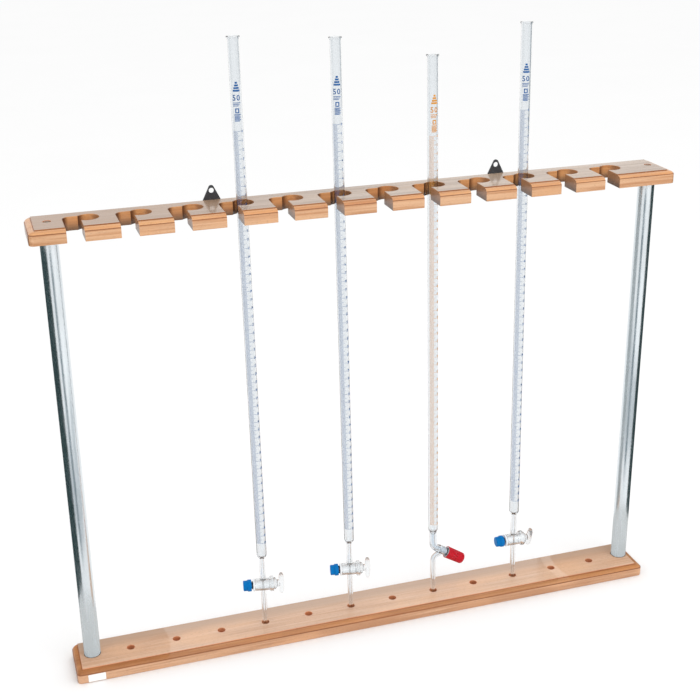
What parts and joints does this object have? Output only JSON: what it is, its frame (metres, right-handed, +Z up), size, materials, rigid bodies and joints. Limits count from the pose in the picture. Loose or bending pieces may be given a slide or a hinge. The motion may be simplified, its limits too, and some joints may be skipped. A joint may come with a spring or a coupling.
{
  "type": "burette stand",
  "caption": "Wooden bench stand: two moulded boards on metal posts, with slots that hold glass burettes upright above blind tip holes, and wall hanging plates.",
  "frame": {"origin": "centre of the base board's underside, on the surface that the stand rests on", "axes": "+X along the boards towards the last place, +Y towards the back edge that carries the hanging plates, +Z up"},
  "size_m": [0.8, 0.0686, 0.7831],
  "materials": {
    "wood": "clear gloss lacquer on beech",
    "aluminium_tube": "satin, brushed along its length",
    "aluminium_plug": "turned",
    "zinc_screw": "zinc plated",
    "black_steel": "satin black",
    "label": "plain printed-paper satin, blank",
    "glass": "clear borosilicate",
    "white_plastic": "satin fluoropolymer",
    "blue_plastic": "moulded",
    "red_plastic": "moulded",
    "blue_ink": "printed and fired scale",
    "amber_ink": "printed and fired scale",
    "rubber": "matte"
  },
  "bodies": {
    "stand": {"base_board": "wood", "top_board": "wood", "post_left": "aluminium_tube", "post_right": "aluminium_tube", "post_plug_low_left": "aluminium_plug", "post_plug_low_right": "aluminium_plug", "post_plug_high_left": "aluminium_plug", "post_plug_high_right": "aluminium_plug", "base_screw_left": "zinc_screw", "base_screw_right": "zinc_screw", "top_screw_left": "zinc_screw", "top_screw_right": "zinc_screw", "hanger_left": "black_steel", "hanger_right": "black_steel", "hanger_screw_left_a": "black_steel", "hanger_screw_left_b": "black_steel", "hanger_screw_right_a": "black_steel", "hanger_screw_right_b": "black_steel", "blank_label": "label"},
    "burette_1": {"burette_1_tube": "glass"},
    "stopcock_1": {"burette_1_key": "glass", "burette_1_washer": "white_plastic", "burette_1_nut": "blue_plastic", "burette_1_seal": "rubber"},
    "burette_2": {"burette_2_tube": "glass"},
    "stopcock_2": {"burette_2_key": "glass", "burette_2_washer": "white_plastic", "burette_2_nut": "blue_plastic", "burette_2_seal": "rubber"},
    "burette_3": {"burette_3_tube": "glass"},
    "valve_needle": {"burette_3_needle": "white_plastic", "burette_3_seal": "rubber"},
    "valve_cap": {"burette_3_cap": "red_plastic", "burette_3_liner": "white_plastic"},
    "burette_4": {"burette_4_tube": "glass"},
    "stopcock_4": {"burette_4_key": "glass", "burette_4_washer": "white_plastic", "burette_4_nut": "blue_plastic", "burette_4_seal": "rubber"}
  },
  "joints": [
    {"name": "burette_1_lift", "type": "slide", "parent": "stand", "child": "burette_1", "axis": [-0.0052, 0.0208, 0.9998], "range_m": [0, 0.03]},
    {"name": "stopcock_1_turn", "type": "hinge", "parent": "burette_1", "child": "stopcock_1", "pos_m": [-0.14735, 0.00332, 0.07408], "axis": [0.9863, -0.165, 0.0085], "continuous": true},
    {"name": "burette_2_lift", "type": "slide", "parent": "stand", "child": "burette_2", "axis": [-0.0052, 0.0208, 0.9998], "range_m": [0, 0.03]},
    {"name": "stopcock_2_turn", "type": "hinge", "parent": "burette_2", "child": "stopcock_2", "pos_m": [-0.02735, 0.00332, 0.07408], "axis": [0.9816, -0.1907, 0.0091], "continuous": true},
    {"name": "burette_3_lift", "type": "slide", "parent": "stand", "child": "burette_3", "axis": [-0.0052, 0.0208, 0.9998], "range_m": [0, 0.03]},
    {"name": "valve_needle_travel", "type": "slide", "parent": "burette_3", "child": "valve_needle", "axis": [0.8496, -0.0553, -0.5245], "range_m": [0, 0.004]},
    {"name": "valve_cap_turn", "type": "hinge", "parent": "valve_needle", "child": "valve_cap", "pos_m": [0.12279, 0.00159, 0.0669], "axis": [0.8496, -0.0553, -0.5245], "range_deg": [0, 720]},
    {"name": "burette_4_lift", "type": "slide", "parent": "stand", "child": "burette_4", "axis": [-0.0035, 0.0208, 0.9998], "range_m": [0, 0.03]},
    {"name": "stopcock_4_turn", "type": "hinge", "parent": "burette_4", "child": "stopcock_4", "pos_m": [0.21277, 0.00332, 0.07409], "axis": [0.9998, -0.0174, 0.0038], "continuous": true}
  ],
  "couplings": [
    {"joint": "valve_needle_travel", "follows": "valve_cap_turn", "m_per_rad": 0.00031828}
  ]
}
